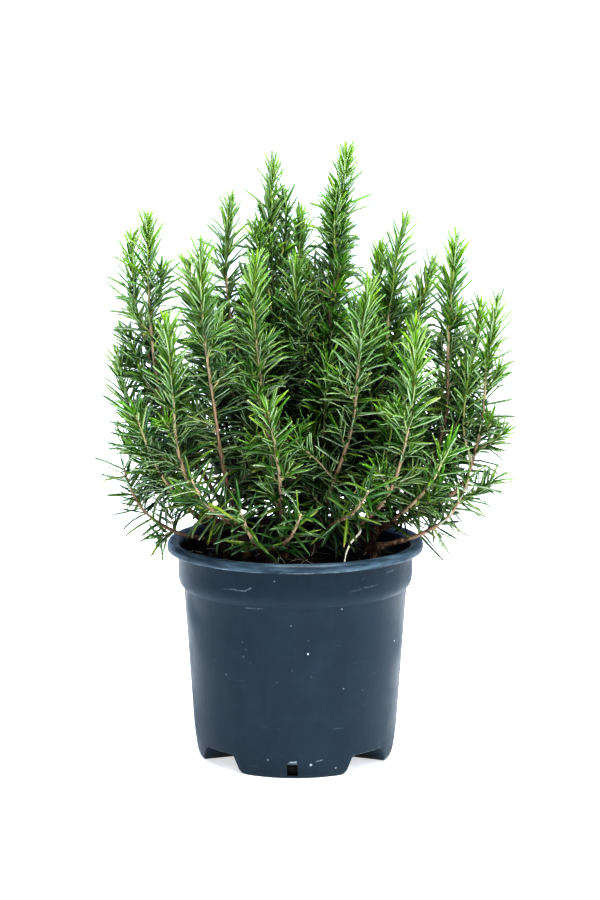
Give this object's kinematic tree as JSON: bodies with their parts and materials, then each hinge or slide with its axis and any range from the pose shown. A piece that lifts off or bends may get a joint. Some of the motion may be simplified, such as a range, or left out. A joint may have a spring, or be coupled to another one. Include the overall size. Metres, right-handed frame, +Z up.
{
  "type": "potted rosemary plant",
  "caption": "Bushy upright rosemary with needle leaves on woody stems, standing in the soil of a round black nursery pot with a rolled rim and feet.",
  "frame": {"origin": "middle of the pot's underside, on the surface that the pot stands on", "axes": "+Z up along the pot's axis, -Y towards the front of the plant as pictured, +X to its right"},
  "size_m": [0.2959, 0.2415, 0.4589],
  "materials": {
    "pot_plastic": "blue-black moulded polypropylene with a satin sheen, faint scuffs and dust specks, paler wear along the rim",
    "potting_soil": "dark moist peat crumbs with fine brown roots and a few pale grains",
    "woody_stem": "orange-brown to grey-brown young bark, finely cracked along its length",
    "foliage": "narrow waxy needles, dark glossy green above and pale grey-green beneath, bright yellow-green at the tips of the stems"
  },
  "bodies": {
    "root": {"pot": "pot_plastic", "soil": "potting_soil", "wood_centre": "woody_stem", "wood_front": "woody_stem", "wood_front_right": "woody_stem", "wood_front_left": "woody_stem", "wood_left": "woody_stem", "wood_left_back": "woody_stem", "wood_back_left": "woody_stem", "wood_back": "woody_stem", "wood_back_right": "woody_stem", "wood_right": "woody_stem", "wood_right_back": "woody_stem", "wood_front_low": "woody_stem", "wood_left_low": "woody_stem", "wood_right_low": "woody_stem", "spray_centre_1": "foliage", "spray_centre_2": "foliage", "spray_centre_3": "foliage", "spray_front_1": "foliage", "spray_front_2": "foliage", "spray_front_right_1": "foliage", "spray_front_right_2": "foliage", "spray_front_right_3": "foliage", "spray_front_left_1": "foliage", "spray_front_left_2": "foliage", "spray_front_left_3": "foliage", "spray_left_1": "foliage", "spray_left_2": "foliage", "spray_left_3": "foliage", "spray_left_back_1": "foliage", "spray_left_back_2": "foliage", "spray_left_back_3": "foliage", "spray_back_left_1": "foliage", "spray_back_left_2": "foliage", "spray_back_left_3": "foliage", "spray_back_1": "foliage", "spray_back_2": "foliage", "spray_back_3": "foliage", "spray_back_right_1": "foliage", "spray_back_right_2": "foliage", "spray_back_right_3": "foliage", "spray_right_1": "foliage", "spray_right_2": "foliage", "spray_right_3": "foliage", "spray_right_4": "foliage", "spray_right_back_1": "foliage", "spray_right_back_2": "foliage", "spray_right_back_3": "foliage", "spray_right_back_4": "foliage", "spray_front_low_1": "foliage", "spray_front_low_2": "foliage", "spray_left_low_1": "foliage", "spray_right_low_1": "foliage"}
  },
  "joints": []
}
